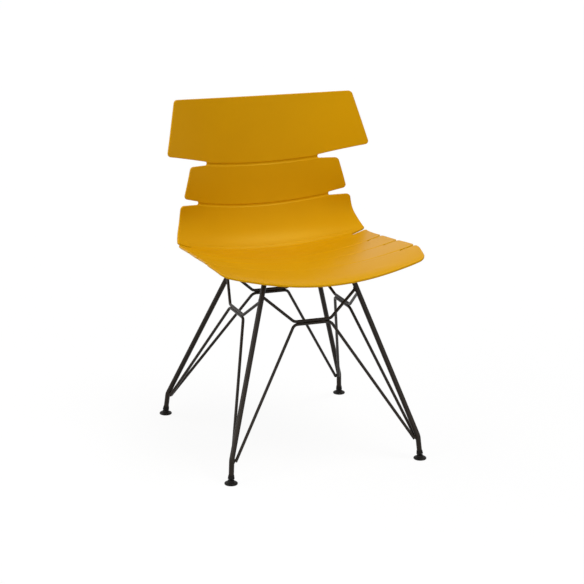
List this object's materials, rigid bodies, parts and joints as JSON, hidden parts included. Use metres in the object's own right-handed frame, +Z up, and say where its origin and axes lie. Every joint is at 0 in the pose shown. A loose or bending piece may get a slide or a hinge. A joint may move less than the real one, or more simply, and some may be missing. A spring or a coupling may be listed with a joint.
{
  "type": "shell chair",
  "caption": "Moulded plastic shell chair with slotted seat and back sides, splayed bar legs braced by bent wires, and small tilting round foot pads.",
  "frame": {"origin": "centre of the chair's footprint on the floor", "axes": "+Z up, -Y towards the front of the seat, +X to the right as seen from the front"},
  "size_m": [0.507, 0.5182, 0.7901],
  "materials": {
    "shell_plastic": "fine matt ochre yellow, coloured through",
    "powder_coat": "satin near-black powder coat",
    "zinc_plated": "zinc plated",
    "brass": "plain",
    "glide_plastic": "black, smooth"
  },
  "bodies": {
    "chair": {"shell": "shell_plastic", "leg_front_right": "powder_coat", "leg_front_left": "powder_coat", "leg_rear_right": "powder_coat", "leg_rear_left": "powder_coat", "upper_wire_front": "powder_coat", "lower_wire_front": "powder_coat", "upper_wire_rear": "powder_coat", "lower_wire_rear": "powder_coat", "upper_wire_right": "powder_coat", "lower_wire_right": "powder_coat", "upper_wire_left": "powder_coat", "lower_wire_left": "powder_coat", "mount_bar_front": "powder_coat", "mount_bar_rear": "powder_coat", "mount_screws": "zinc_plated", "mount_washers": "zinc_plated", "threaded_inserts": "brass", "glide_sleeve_front_right": "glide_plastic", "glide_sleeve_front_left": "glide_plastic", "glide_sleeve_rear_right": "glide_plastic", "glide_sleeve_rear_left": "glide_plastic"},
    "pad_front_right": {"glide_pad_front_right": "glide_plastic"},
    "pad_front_left": {"glide_pad_front_left": "glide_plastic"},
    "pad_rear_right": {"glide_pad_rear_right": "glide_plastic"},
    "pad_rear_left": {"glide_pad_rear_left": "glide_plastic"}
  },
  "joints": [
    {"name": "pad_tilt_front_right", "type": "hinge", "parent": "chair", "child": "pad_front_right", "pos_m": [0.2313, -0.2441, 0.007], "axis": [0.8633, 0.5047, 0], "range_deg": [-24, 6]},
    {"name": "pad_tilt_front_left", "type": "hinge", "parent": "chair", "child": "pad_front_left", "pos_m": [-0.2313, -0.2441, 0.007], "axis": [0.8633, -0.5047, 0], "range_deg": [-24, 6]},
    {"name": "pad_tilt_rear_right", "type": "hinge", "parent": "chair", "child": "pad_rear_right", "pos_m": [0.2313, 0.2441, 0.007], "axis": [-0.8633, 0.5047, 0], "range_deg": [-24, 6]},
    {"name": "pad_tilt_rear_left", "type": "hinge", "parent": "chair", "child": "pad_rear_left", "pos_m": [-0.2313, 0.2441, 0.007], "axis": [-0.8633, -0.5047, 0], "range_deg": [-24, 6]}
  ]
}
